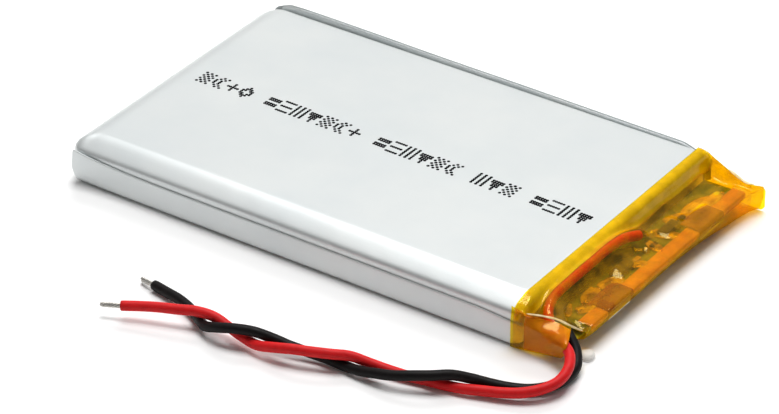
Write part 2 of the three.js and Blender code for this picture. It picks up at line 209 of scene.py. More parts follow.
def closed_tube(path, radius, sides, start=0):
    """The points and faces of a tube with flat ends."""
    points = tube(path, radius, sides)
    faces = grid_faces(len(path), sides, start, around=True)
    faces.append(tuple(start + k for k in reversed(range(sides))))
    last = start + (len(path) - 1) * sides
    faces.append(tuple(last + k for k in range(sides)))
    return points, faces


# ---- camera ----
AZIMUTH, ELEVATION, ROLL = (math.radians(angle) for angle in (34.84, 32.20, -0.29))
CAMERA_DISTANCE = 413.7
CAMERA_TARGET = Vector((-3.27, -0.16, -2.81))
CAMERA_LENS = 177.04                 # on a sensor 36 mm wide


def add_camera():
    back = Vector((
        math.sin(AZIMUTH) * math.cos(ELEVATION),
        -math.cos(AZIMUTH) * math.cos(ELEVATION),
        math.sin(ELEVATION),
    ))
    level = Vector((math.cos(AZIMUTH), math.sin(AZIMUTH), 0))
    upright = back.cross(level)
    right = level * math.cos(ROLL) + upright * math.sin(ROLL)
    up = upright * math.cos(ROLL) - level * math.sin(ROLL)
    place = (CAMERA_TARGET + back * CAMERA_DISTANCE) * MM
    data = bpy.data.cameras.new("camera")
    data.sensor_width = 36
    data.sensor_fit = "HORIZONTAL"
    data.lens = CAMERA_LENS
    data.clip_start = 0.01
    data.clip_end = 20
    camera = bpy.data.objects.new("camera", data)
    camera.matrix_world = Matrix.Translation(place) @ Matrix((right, up, back)).transposed().to_4x4()
    bpy.context.scene.collection.objects.link(camera)
    bpy.context.scene.camera = camera


add_camera()


# ---- materials ----
class Nodes:
    """A material's node tree, with short calls for the nodes used here."""

    def __init__(self, name):
        self.material = bpy.data.materials.new(name)
        self.material.use_nodes = True
        self.tree = self.material.node_tree
        self.tree.nodes.clear()
        self.output = self.add("ShaderNodeOutputMaterial")
        self.place = self.add("ShaderNodeTexCoord").outputs["Object"]

    def add(self, kind, **settings):
        node = self.tree.nodes.new(kind)
        for name, value in settings.items():
            setattr(node, name, value)
        return node

    def link(self, source, target):
        self.tree.links.new(source, target)

    def stretch(self, scale):
        mapping = self.add("ShaderNodeMapping")
        mapping.inputs["Scale"].default_value = scale
        self.link(self.place, mapping.inputs["Vector"])
        return mapping.outputs["Vector"]

    def noise(self, size, detail=4.0, scale=(1, 1, 1), roughness=0.55):
        """Noise with lumps of about the given size in millimetres."""
        texture = self.add("ShaderNodeTexNoise")
        texture.inputs["Scale"].default_value = 1 / (size * MM)
        texture.inputs["Detail"].default_value = detail
        texture.inputs["Roughness"].default_value = roughness
        self.link(self.stretch(scale), texture.inputs["Vector"])
        return texture.outputs["Fac"]

    def cells(self, size):
        texture = self.add("ShaderNodeTexVoronoi", feature="F2")
        texture.inputs["Scale"].default_value = 1 / (size * MM)
        self.link(self.place, texture.inputs["Vector"])
        return texture.outputs["Distance"]

    def ramp(self, source, *stops):
        """A colour or grey level for each position of the source."""
        ramp = self.add("ShaderNodeValToRGB")
        elements = ramp.color_ramp.elements
        while len(elements) < len(stops):
            elements.new(0.5)
        for element, (position, colour) in zip(elements, stops):
            element.position = position
            if isinstance(colour, (int, float)):
                colour = (colour, colour, colour)
            element.color = (*colour, 1)
        self.link(source, ramp.inputs["Fac"])
        return ramp.outputs["Color"]

    def bump(self, height, distance, normal=None):
        bump = self.add("ShaderNodeBump")
        bump.inputs["Distance"].default_value = distance * MM
        self.link(height, bump.inputs["Height"])
        if normal is not None:
            self.link(normal, bump.inputs["Normal"])
        return bump.outputs["Normal"]

    def principled(self, **values):
        shader = self.add("ShaderNodeBsdfPrincipled")
        for name, value in values.items():
            socket = shader.inputs[name.replace("_", " ")]
            if hasattr(value, "node"):
                self.link(value, socket)
            else:
                socket.default_value = value
        return shader.outputs["BSDF"]

    def mix(self, factor, first, second):
        mix = self.add("ShaderNodeMixShader")
        if hasattr(factor, "node"):
            self.link(factor, mix.inputs["Fac"])
        else:
            mix.inputs["Fac"].default_value = factor
        self.link(first, mix.inputs[1])
        self.link(second, mix.inputs[2])
        return mix.outputs["Shader"]

    def done(self, shader):
        self.link(shader, self.output.inputs["Surface"])
        return self.material


def laminate():
    """Nylon over aluminium foil: satin silver with faint rolling streaks and soft dents."""
    n = Nodes("laminate")
    cloud = n.noise(9, 3)
    streak = n.noise(1.2, 3, (0.08, 1, 1))
    colour = n.ramp(cloud, (0.3, (0.655, 0.69, 0.695)), (0.7, (0.70, 0.725, 0.72)))
    shine = n.ramp(streak, (0.3, 0.40), (0.7, 0.425))
    dents = n.bump(n.noise(7, 2), 0.05)
    grain = n.bump(n.noise(0.22, 3), 0.004, dents)
    return n.done(n.principled(
        Base_Color=colour, Metallic=0.55, Roughness=shine, Normal=grain,
        Coat_Weight=0.25, Coat_Roughness=0.22,
    ))


def film(name, pass_colour, body_colour, body=(0.03, 0.06), shine=1.0):
    """Clear amber film: tints what is behind it and mirrors the lights off its creases.

    body is how much of it is solid colour, where it is clearest and where it is cloudiest.
    The mirroring follows Facing, which is the same on both sides of a face: Fresnel would
    turn the inner side of the film into a full mirror.
    """
    n = Nodes(name)
    waves = n.bump(n.noise(2.4, 2, (1, 0.6, 1)), 0.05)
    clear = n.add("ShaderNodeBsdfTransparent")
    clear.inputs["Color"].default_value = (*pass_colour, 1)
    solid = n.add("ShaderNodeBsdfDiffuse")
    shade = n.ramp(n.noise(1.5, 3), (0.35, tuple(c * 0.8 for c in body_colour)), (0.65, body_colour))
    n.link(shade, solid.inputs["Color"])
    gloss = n.add("ShaderNodeBsdfGlossy")
    gloss.inputs["Roughness"].default_value = 0.12
    gloss.inputs["Color"].default_value = (1, 0.93, 0.72, 1)
    n.link(waves, gloss.inputs["Normal"])
    facing = n.add("ShaderNodeLayerWeight")
    facing.inputs["Blend"].default_value = 0.5
    levels = ((0.3, 0.024), (0.62, 0.05), (0.85, 0.25), (1, 0.8))
    mirror = n.ramp(facing.outputs["Facing"], *((at, level * shine) for at, level in levels))
    cover = n.ramp(n.noise(1.8, 3, (1, 0.7, 1)), (0.42, body[0]), (0.58, body[1]))
    inside = n.mix(cover, clear.outputs["BSDF"], solid.outputs["BSDF"])
    return n.done(n.mix(mirror, inside, gloss.outputs["BSDF"]))


def plain(name, dark, light, roughness=0.4, metallic=0.0, size=0.6, bump=0.01, **more):
    """A moulded or coated surface with slight mottling and grain."""
    n = Nodes(name)
    mottle = n.noise(size, 4)
    colour = n.ramp(mottle, (0.3, dark), (0.7, light))
    shine = n.ramp(n.noise(size * 0.5, 3), (0.3, roughness * 0.85), (0.7, min(roughness * 1.2, 1)))
    grain = n.bump(n.noise(size * 0.3, 3), bump)
    return n.done(n.principled(
        Base_Color=colour, Metallic=metallic, Roughness=shine, Normal=grain, **more
    ))


def solder_mask():
    """Green board with lighter traces and pads under the lacquer."""
    n = Nodes("solder_mask")
    trace = n.ramp(n.cells(0.9), (0.42, (0.035, 0.10, 0.03)), (0.48, (0.08, 0.20, 0.05)))
    grain = n.bump(n.noise(0.15, 3), 0.01)
    return n.done(n.principled(Base_Color=trace, Roughness=0.3, Normal=grain, Coat_Weight=0.4))


LAMINATE = laminate()
FILM = film("polyimide_film", (0.999, 0.875, 0.09), (1.0, 0.62, 0.006), (0.03, 0.06))
FILM_INNER = film("polyimide_inner_turns", (0.99, 0.92, 0.25), (1.0, 0.72, 0.03), (0.01, 0.09), 0.25)
FILM_HEM = film("polyimide_hem", (0.97, 0.80, 0.05), (0.84, 0.47, 0.004), (0.75, 0.9), 0.3)
FILM_BAND = film("polyimide_bands", (0.80, 0.60, 0.03), (0.50, 0.22, 0.006), (0.4, 0.55), 0.3)
FILM_FOLD = film("polyimide_folds", (0.95, 0.74, 0.05), (0.95, 0.78, 0.05), (0.15, 0.75), 2.0)
# painted highlight: the crease film's pale cream, nearly solid colour stands in for the light caught along
# the tape's creases
FILM_CREASE_PAINTED_HIGHLIGHT = film("polyimide_crease_painted_highlight", (0.99, 0.9, 0.4), (1.0, 0.84, 0.50), (0.6, 0.97), 0.5)
FILM_START = film("polyimide_first_turn", (1.0, 0.96, 0.2), (1.0, 0.86, 0.004), (0.5, 0.6), 0.5)
FILM_GUSSET = film("polyimide_gusset", (0.9, 0.55, 0.03), (0.95, 0.40, 0.015), (0.55, 0.72), 0.4)
RED = plain("red_insulation", (0.58, 0.006, 0.008), (0.70, 0.010, 0.012), 0.5, bump=0.006,
            Specular_IOR_Level=0.22)
BLACK = plain("black_insulation", (0.004, 0.003, 0.003), (0.008, 0.006, 0.006), 0.5, bump=0.006,
              Specular_IOR_Level=0.15)
TINNED = plain("tinned_strands", (0.42, 0.40, 0.37), (0.62, 0.60, 0.56), 0.3, 0.9, 0.2)
SOLDER = plain("solder", (0.40, 0.40, 0.38), (0.60, 0.60, 0.57), 0.42, 0.9, 0.3)
COPPER = plain("copper_foil", (0.55, 0.26, 0.14), (0.68, 0.36, 0.2), 0.35, 0.9)
CATHODE = plain("cathode_coating", (0.02, 0.02, 0.023), (0.045, 0.045, 0.05), 0.8, size=0.3)
SEPARATOR = plain("separator_film", (0.85, 0.85, 0.82), (0.92, 0.92, 0.9), 0.55)
ALUMINIUM = plain("aluminium_tab", (0.68, 0.69, 0.70), (0.78, 0.79, 0.80), 0.33, 0.9)
NICKEL = plain("nickel_tab", (0.52, 0.50, 0.46), (0.64, 0.62, 0.57), 0.3, 0.9)
SEALANT = plain("sealant", (0.80, 0.76, 0.64), (0.88, 0.85, 0.76), 0.5)
EPOXY = plain("epoxy", (0.014, 0.014, 0.016), (0.028, 0.028, 0.03), 0.5, size=0.25, bump=0.01)
CERAMIC = plain("ceramic", (0.36, 0.25, 0.15), (0.5, 0.37, 0.23), 0.45, size=0.3)
INK = plain("print_ink", (0.002, 0.002, 0.003), (0.006, 0.006, 0.007), 0.7, size=0.2, bump=0.003,
            Specular_IOR_Level=0.1)
GLUE = plain("clear_glue", (0.90, 0.87, 0.82), (0.96, 0.94, 0.91), 0.35, size=0.5, bump=0.05,
             Alpha=0.6)
SOLDER_MASK = solder_mask()


# ---- leads: the first pieces made, along the same routes as their CAD solids ----
LEAD_RADIUS = 0.55
BORE_RADIUS = 0.31                   # inside of the insulation at a cut end
RED_ROUTE = [
    (26.85, 1.9, 3.35), (26.4, 0, 3.85), (26.15, -2, 4.05), (26.1, -4, 4.15), (26.1, -6, 4.15),
    (26.1, -8, 4.1), (26.1, -10, 4.1), (26.1, -12.05, 4.05), (26.25, -14.05, 3.8),
    (27, -15.85, 3.3), (28.4, -17.15, 2.75), (30.1, -18.1, 2.45), (31.7, -19.2, 2.2),
    (32.65, -20.9, 1.85), (32.8, -22.85, 1.5), (32, -24.65, 1.25), (30.55, -26, 1),
    (28.75, -26.95, 0.85), (26.85, -27.65, 0.75), (25, -28.3, 0.65), (23, -28.75, 0.6),
    (21.05, -29.1, 0.6), (19.05, -29.5, 0.6), (17.1, -29.8, 0.7), (15.2, -30.35, 1.1),
    (13.4, -31.1, 1.65), (11.7, -32.15, 1.85), (9.85, -33, 1.9), (7.95, -33.6, 1.8),
    (6, -33.95, 1.45), (4.05, -34, 1), (2.05, -33.6, 0.9), (0.1, -33.3, 1.2),
    (-1.85, -33.25, 1.75), (-3.75, -33.65, 1.95), (-5.65, -34.35, 1.85), (-7.55, -35, 1.75),
    (-9.45, -35.75, 1.6), (-11.25, -36.6, 1.45),
]
BLACK_ROUTE = [
    (27.35, -0.5, 2.9), (26.65, -2.4, 3), (26.45, -4.35, 3), (26.45, -6.35, 3),
    (26.45, -8.35, 2.95), (26.45, -10.35, 2.95), (26.65, -12.3, 2.95), (27.3, -14.2, 3),
    (28.5, -15.75, 2.95), (30.1, -16.7, 2.4), (31.45, -17.55, 1.6), (32.45, -19.15, 0.9),
    (32.5, -21.2, 0.65), (31.85, -23.05, 0.6), (30.55, -24.55, 0.6), (28.8, -25.5, 0.65),
    (26.95, -26.25, 0.85), (25.25, -27.15, 1.3), (23.7, -28.25, 1.75), (22.15, -29.6, 1.85),
    (20.45, -30.6, 1.75), (18.6, -31.3, 1.45), (16.65, -31.55, 1.1), (14.7, -31.65, 0.75),
    (12.75, -31.55, 0.6), (10.75, -31.6, 0.65), (8.8, -31.9, 0.8), (6.85, -32.35, 1.1),
    (5, -32.85, 1.6), (3.2, -33.5, 2.05), (1.35, -34.2, 2.1), (-0.6, -34.5, 1.65),
    (-2.45, -34.15, 0.95), (-4.1, -33.1, 0.7), (-5.85, -32.15, 0.7), (-7.75, -31.5, 0.75),
    (-9.7, -31.05, 0.65), (-11.65, -30.65, 0.6),
]
RED_TIP = [(-11.3, -36.65, 1.45), (-12.3, -37.05, 1.4), (-13.3, -37.5, 1.35)]
BLACK_TIP = [(-11.7, -30.68, 0.6), (-12.7, -30.5, 0.5), (-13.6, -30.3, 0.4)]
RED_ROOT = [(27.1, 3.4, 2.75), (27.0, 2.75, 2.95), (26.85, 2.05, 3.28)]
BLACK_ROOT = [(28.0, 0.3, 2.75), (27.75, 0.0, 2.82), (27.48, -0.38, 2.93)]


def add_insulation(colour, route, material):
    """A tube that is open and hollow for a short way at both of its cut ends."""
    sides = 20
    path = spline(route, 0.25)
    swell = [1 + 0.012 * rough(*point, 2.5, 1) for point in path]
    outer = LEAD_RADIUS * np.array(swell)
    outer[[0, -1]] *= 0.95
    radii = [BORE_RADIUS, BORE_RADIUS, *outer, BORE_RADIUS, BORE_RADIUS]
    body = tube(path, outer, sides)
    count = len(path)
    points = []
    for row, radius in zip([4, 0, *range(count), count - 1, count - 5], radii):
        centre = np.mean(body[row * sides:(row + 1) * sides], axis=0)
        for k in range(sides):
            spoke = body[row * sides + k] - centre
            points.append(centre + spoke / np.linalg.norm(spoke) * radius)
    faces = grid_faces(count + 4, sides, 0, around=True)
    faces.append(tuple(reversed(range(sides))))
    faces.append(tuple((count + 3) * sides + k for k in range(sides)))
    name = colour + "_insulation"
    return add_mesh(name, points, faces, material, [colour + "_lead"])


def add_strands(name, line, overlap, spread, node):
    """Seven tinned strands twisted together, with slightly uneven ends."""
    start, second = (np.array(p, float) for p in (line[0], line[1]))
    inward = start - (second - start) / np.linalg.norm(second - start) * overlap
    path = spline([tuple(inward), *line], 0.1)
    lay = 2.6                        # length of one full twist
    strand = 0.1
    points, faces = [], []
    for index in range(7):
        ring = 0 if index == 0 else spread
        cut = len(path) - (index * 5) % 4
        centre = []
        for step, point in enumerate(path[:cut]):
            ahead = path[min(step + 1, len(path) - 1)] - path[max(step - 1, 0)]
            ahead /= np.linalg.norm(ahead)
            side = np.cross(ahead, (0, 0, 1.0))
            side /= np.linalg.norm(side)
            up = np.cross(side, ahead)
            angle = 2 * math.pi * (index / 6 + step * 0.1 / lay)
            loose = 1 + 0.25 * max(0, step - cut + 6) / 6 * (index % 3)
            centre.append(point + ring * loose * (math.cos(angle) * side + math.sin(angle) * up))
        more, more_faces = closed_tube(centre, strand, 8, len(points))
        points += more
        faces += more_faces
    return add_mesh(name, points, faces, TINNED, [node])


def add_lead(colour, route, tip, root, material):
    insulation = add_insulation(colour, route, material)
    stripped = add_strands(colour + "_stripped_end", tip, 1.0, 0.19, colour + "_lead_tip")
    rooted = add_strands(colour + "_rooted_end", root, 0.2, 0.14, colour + "_lead_root")
    [tuple(p * MM) for p in spline(route, 0.5)]


add_lead("red", RED_ROUTE, RED_TIP, RED_ROOT, RED)
add_lead("black", BLACK_ROUTE, BLACK_TIP, BLACK_ROOT, BLACK)


# ---- pouch ----
# How far inside the cup's outline each height lies, from the foot up to the flat face.
NEAR_EDGE = [(0.05, CUP_FOOT), (0, 1.6), (-0.06, 2.7), (-0.06, 3.3), (-0.02, 3.62), (0.1, 3.84),
             (0.38, 4.02), (0.97, 4.33), (1.65, 4.67), (2.15, 4.88), (2.6, TOP)]
FAR_EDGE = [(0, CUP_FOOT), (0, 1.6), (0, 3.0), (0, 4.0), (0.04, 4.3), (0.13, 4.55), (0.27, 4.74),
            (0.45, 4.88), (0.7, 4.965), (1.0, 4.995), (1.4, TOP)]
FOLD_EDGE = [(0, CUP_FOOT), (0, 1.2), (0, 2.4), (0.02, 3.3), (0.12, 3.8), (0.35, 4.2), (0.7, 4.5),
             (1.15, 4.73), (1.7, 4.9), (2.2, 4.98), (2.7, TOP)]
BOARD_EDGE = [(0, CUP_FOOT), (0, 1.6), (0, 3.0), (0, 4.2), (0.06, 4.5), (0.16, 4.7), (0.3, 4.86),
              (0.45, 4.94), (0.62, 4.985), (0.8, 4.995), (1.1, TOP)]


def top_face(x, y):
    """Height of the cup's flat face, which is slightly crowned and uneven."""
    crown = max(1 - (x / 31) ** 2, 0) * max(1 - (y / 17) ** 2, 0)
    return TOP + crown * (0.11 + 0.03 * rough(x, y, 0, 11, 2) + 0.008 * rough(x, y, 0, 4, 3))


CORNER_RADII = [1.3, 1.2, 1.2, 1.9]   # near and fold, near and board, far and board, far and fold


def cup_ring(level):
    """The cup's four sides at one level, each from one corner's middle to the next."""
    near, far, fold, board = (edge[level] for edge in (NEAR_EDGE, FAR_EDGE, FOLD_EDGE, BOARD_EDGE))
    x0, x1 = FOLD_END + fold[0], CUP_END - board[0]
    y0, y1 = -CUP_HALF + near[0], CUP_HALF - far[0]
    places = [(x0, y0, 1, 1), (x1, y0, -1, 1), (x1, y1, -1, -1), (x0, y1, 1, -1)]

    def arc(k, first, last):
        x, y, inward_x, inward_y = places[k % 4]
        r = max(CORNER_RADII[k % 4] - (near[0] if y < 0 else far[0]) / 2, 0.7)
        points = []
        for angle in np.radians(180 + 90 * (k % 4) + np.linspace(first, last, 6)):
            c, s = math.cos(angle), math.sin(angle)
            along_x, along_y = fold if c < 0 else board, near if s < 0 else far
            height = along_x[1] * c * c + along_y[1] * s * s
            if c > 0 and 3 < level < 9:              # the board end's corners are pressed down
                height -= 1.1 * (c * s) ** 2
            points.append((x + (inward_x + c) * r, y + (inward_y + s) * r, height))
        return points

    sides = []
    for k, count in enumerate((56, 34, 56, 34)):
        before, after = arc(k, 45, 90), arc(k + 1, 0, 45)
        straight = [tuple(np.array(before[-1]) * (1 - t) + np.array(after[0]) * t)
                    for t in np.linspace(0, 1, count)[1:-1]]
        sides.append(before + straight + after)
    return sides


def add_cup():
    """The cup's walls as rings, its face stretched between the last ring's four sides, its two
    flanges and the sealed terrace at the board end."""
    levels = [cup_ring(level) for level in range(len(NEAR_EDGE))]
    rows = [[point for side in sides for point in side[:-1]] for sides in levels]
    points = [p for row in rows for p in row]
    faces = grid_faces(len(rows), len(rows[0]), 0, around=True)
    near, board, far, fold = (np.array(side) for side in levels[-1])
    far, fold = far[::-1], fold[::-1]
    start = len(points)
    for i, u in enumerate(np.linspace(0, 1, len(near))):
        for j, v in enumerate(np.linspace(0, 1, len(fold))):
            x, y, z = (near[i] * (1 - v) + far[i] * v + fold[j] * (1 - u) + board[j] * u
                       - near[0] * (1 - u) * (1 - v) - near[-1] * u * (1 - v)
                       - far[0] * (1 - u) * v - far[-1] * u * v)
            inner = float(smoothstep(0, 0.08, min(u, 1 - u, v, 1 - v)))
            points.append((x, y, z + (top_face(x, y) - z) * inner))
    faces += grid_faces(len(near), len(fold), start)
    for side in (-1, 1):             # the cup's own flange, folded up inside each side seam
        start = len(points)
        stations = np.linspace(FOLD_END + (4.5 if side < 0 else 1.8), CUP_END - 0.2, 60)
        for x in stations:
            top = (near_height(x) if side < 0 else far_height(x)) - 0.03
            lean = near_lean(x) if side < 0 else -0.14 - 0.18 * float(smoothstep(-5, 22, x))
            section = [(CUP_HALF - 0.1, CUP_FOOT), (HALF - 0.3, CUP_FOOT), (HALF - 0.16, 0.45)]
            section += [(HALF - 0.16 + lean * t * t, 0.45 + (top - 0.45) * t)
                        for t in (0.25, 0.5, 0.75, 1)]
            points += [(x, side * y, z) for y, z in section]
        faces += grid_faces(len(stations), 7, start)
    start = len(points)              # the sealed terrace, which swells over the two tabs
    stations = np.linspace(-17, 17, 69)
    for y in stations:
        swell = max(float(smoothstep(3.1, 2.4, abs(y - tab))) for tab in (NEAR_TAB, FAR_TAB)) * 0.3
        points += [(x, y, z + swell * (x > CUP_END))
                   for x, z in ((CUP_END - 0.05, TERRACE_TOP - 0.25), (RAMP_END, TERRACE_TOP),
                                (CUP_END + 2.8, TERRACE_TOP), (TERRACE_END, TERRACE_TOP))]
    faces += grid_faces(len(stations), 4, start)
    cup = add_mesh("cup", points, faces, LAMINATE, ["pouch_cup"])
    thicken(cup, SHEET)
    return refine(cup)


def near_height(x):
    """Height of the near side seam, which flares up at the folded end."""
    flare = 0.98 * math.exp(-(x - FOLD_END - 0.9) / 3.4)
    return flare + ease([(CUP_END - 6, 3.02), (CUP_END, 2.7)], x)


def far_height(x):
    """Height of the far side seam, which stands above the face along most of its length."""
    return ease([(FOLD_END + 0.6, 4.2), (FOLD_END + 1.5, 4.9), (FOLD_END + 3.4, 5.4),
                 (FOLD_END + 6, 5.45), (FOLD_END + 30, 5.2), (CUP_END - 3.2, 5.1),
                 (CUP_END - 1.1, 4.55), (CUP_END, 3.9), (CUP_END + 0.3, 3.45)], x)


def near_lean(x):
    """How far the top of the near seam stands out from its foot, most at the folded end."""
    flare = 0.45 * math.exp(-(x - FOLD_END - 0.5) / 2.2)
    return flare - 0.29 + 0.02 * rough(x, 0, 0, 9, 4)


def seam_left(height, far):
    """Where each height of a seam starts: its lower corner is bevelled, its upper one round."""
    if far:
        return bend([(0, 1.3), (0.7, 0.7), (3.4, 0.5), (4.5, 0.6), (5.0, 1.0), (5.4, 2.4)], height)
    return bend([(0, 1.5), (0.5, 0.85), (1.2, 0.47), (2.6, 0.75), (3.95, 1.1)], height)


def add_base():
    """The flat sheet and both folded side seams, as one bent sheet."""
    section = [("far", t) for t in np.linspace(1, 0, 12)]
    section += [("flat", t) for t in np.linspace(1, -1, 34)]
    section += [("near", t) for t in np.linspace(0, 1, 12)]
    stations = 90
    points = []
    for step in range(stations):
        t = step / (stations - 1)
        t = t * t * (3 - 2 * t) * 0.3 + t * 0.7      # closer together towards both ends
        for part, u in section:
            far = part == "far"
            if part == "flat":
                left, right = FOLD_END + (0 if abs(u) < 0.9 else 1.5 * (abs(u) - 0.9) / 0.1), RAMP_START
                x = left + (right - left) * t
                points.append((x, u * (HALF - FOLD_RADIUS), 0.0))
                continue
            reach = (far_height if far else near_height)(CUP_END - 6) * u
            left = FOLD_END + seam_left(reach, far)
            right = RAMP_START + (CUP_END + 0.3 - RAMP_START) * min(u * 3, 1)
            x = left + (right - left) * t
            height = (far_height(x) if far else near_height(x)) * u
            foot = RAMP_RISE * max(0, x - RAMP_START) / (RAMP_END - RAMP_START)
            height = max(height, foot + 0.02 + u * 0.5) if u > 0 else 0.0
            round_foot = (FOLD_RADIUS - 0.15) * (1 - min(height / FOLD_RADIUS, 1)) ** 2
            round_foot += 0.15 * (height < 0.1)
            lean = (-0.12 - 0.18 * float(smoothstep(-5, 22, x))) if far else near_lean(x)
            curl = 0.5 * math.exp(-(x - left) / 0.5) * u ** 3 * (1 if far else 0.6)
            y = HALF - round_foot + lean * u * u - (curl if far else 0)
            points.append((x, y if far else -y, height))
    faces = grid_faces(stations, len(section))
    start = len(points)
    rows = np.linspace(-17, 17, 40)
    for y in rows:
        points += [(RAMP_START - 0.02, y, 0.0), (RAMP_START + 0.4, y, 0.1), (RAMP_END - 0.3, y, 0.92),
                   (RAMP_END, y, RAMP_RISE), (TERRACE_END, y, RAMP_RISE)]
    faces += grid_faces(len(rows), 5, start)
    points = [(x, y, max(z, SHEET / 2)) for x, y, z in points]
    base = add_mesh("base_sheet", points, faces, LAMINATE, ["pouch_base_sheet"])
    thicken(base, SHEET, 0)
    return refine(base)


add_cup()
add_base()


# ---- generic dot-matrix print ----
# Plain geometric marks, five dots wide and seven high, that stand for a printed line.
MARKS = [
    ("..#..", "..#..", ".###.", ".###.", "#####", "#####", "....."),
    (".....", "..#..", "..#..", "#####", "..#..", "..#..", "....."),
    ("#####", ".....", ".....", "#####", ".....", ".....", "#####"),
    ("#.#.#", ".#.#.", "#.#.#", ".#.#.", "#.#.#", ".#.#.", "#.#.#"),
    ("..#..", ".###.", "##.##", "#...#", "##.##", ".###.", "..#.."),
    ("#.#.#", "#.#.#", "#.#.#", "#.#.#", "#.#.#", "#.#.#", "#.#.#"),
    ("#.#..", ".#.#.", "..#.#", "..#.#", "..#.#", ".#.#.", "#.#.."),
    (".....", "#####", "#####", ".....", "#####", "#####", "....."),
]
MARK_GROUPS = [4, 3, 6, 7, 4]
MARK_START, MARK_END = (22.3, -0.9), (-29.2, 0.25)
MARK_HEIGHT = 2.0
DOT_SIDES = 8


def add_print():
    """A line of marks in groups, each mark a block of raised round dots."""
    dot = MARK_HEIGHT / 6
    total = sum(MARK_GROUPS) + len(MARK_GROUPS) - 1
    start, end = np.array(MARK_START), np.array(MARK_END)
    along = (end - start) / np.linalg.norm(end - start)
    across = np.array((along[1], -along[0]))
    pitch = np.linalg.norm(end - start) / total
    points, faces = [], []
    place = 0
    for group, count in enumerate(MARK_GROUPS):
        for index in range(count):
            mark = MARKS[(group * 3 + index * 5) % len(MARKS)]
            for row, line in enumerate(mark):
                for column, on in enumerate(line):
                    if on != "#":
                        continue
                    centre = start + along * (place * pitch + column * pitch * 0.17)
                    centre = centre + across * (row - 3) * dot
                    ring = len(points)
                    radius = dot * (0.56 + 0.06 * rough(*centre, 0, 0.7, 8))
                    for k in range(DOT_SIDES):
                        angle = 2 * math.pi * k / DOT_SIDES
                        x, y = centre + radius * np.array((math.cos(angle), math.sin(angle)))
                        z = top_face(x, y)
                        points += [(x, y, z - 0.04), (x, y, z + 0.012)]
                    faces.append(tuple(ring + 2 * k + 1 for k in range(DOT_SIDES)))
                    faces.append(tuple(ring + 2 * k for k in reversed(range(DOT_SIDES))))
                    for k in range(DOT_SIDES):
                        a, b = ring + 2 * k, ring + 2 * ((k + 1) % DOT_SIDES)
                        faces.append((a, b, b + 1, a + 1))
            place += 1
        place += 1
    return add_mesh("dot_print", points, faces, INK, smooth=False)


add_print()


# ---- what lies under the tape ----
PAINTED_NODES = {
    "cathode_foil": CATHODE, "anode_foil": COPPER, "separator_inner": SEPARATOR,
    "separator_outer": SEPARATOR, "winding_tape": SEPARATOR, "positive_tab": ALUMINIUM,
    "negative_tab": NICKEL, "positive_tab_seal": SEALANT, "negative_tab_seal": SEALANT,
    "board_pad": SEALANT, "circuit_board": SOLDER_MASK, "protection_ic": EPOXY,
    "dual_mosfet": EPOXY, "sense_resistor": EPOXY, "filter_resistor": EPOXY,
    "filter_capacitor": CERAMIC, "red_solder_joint": SOLDER, "black_solder_joint": SOLDER,
}
for node, material in PAINTED_NODES.items():
    bpy.data.objects[node].data.materials.clear()
    bpy.data.objects[node].data.materials.append(material)


# ---- polyimide tape ----
STEP = 0.1                           # spacing of the height field that the tape is draped over
GRID_X = np.arange(TAPE_START - 0.2, TAPE_HIGH[0] + 0.3, STEP)
GRID_Y = np.arange(-HALF - 0.4, HALF + 0.5, STEP)
ROUNDS = 2200                        # steps in which the film settles
PRESS = 0.0035                       # how strongly it is pressed towards what lies below
NEAR_CREASE = [(24.3, -18.45, 4.75), (26.0, -18.35, 4.3), (27.4, -17.3, 3.95), (28.84, -16.6, 3.6),
               (29.8, -16.3, 3.2), (30.8, -15.3, 2.35), (31.2, -14.9, 2.25)]
FAR_BORDER = [(24.3, 18.55, 4.6), (25.3, 18.5, 4.45), (26.3, 18.3, 4.1), (28.1, 18.0, 3.5),
              (30.4, 17.8, 2.75), (31.4, 17.85, 2.8), (32.7, 17.95, 3.0)]


def border(points, x, k):
    """Coordinate k of a line of points, by its x."""
    return float(np.interp(x, [p[0] for p in points], [p[k] for p in points]))


def outer_edge(y):
    """Where the tape turns down at the board end."""
    return bend([(-15.3, 30.95), (-14, 31.15), (3, 31.15), (9, 31.35), (14, 31.6), (16.5, 31.9),
                 (17.6, 32.4)], y)


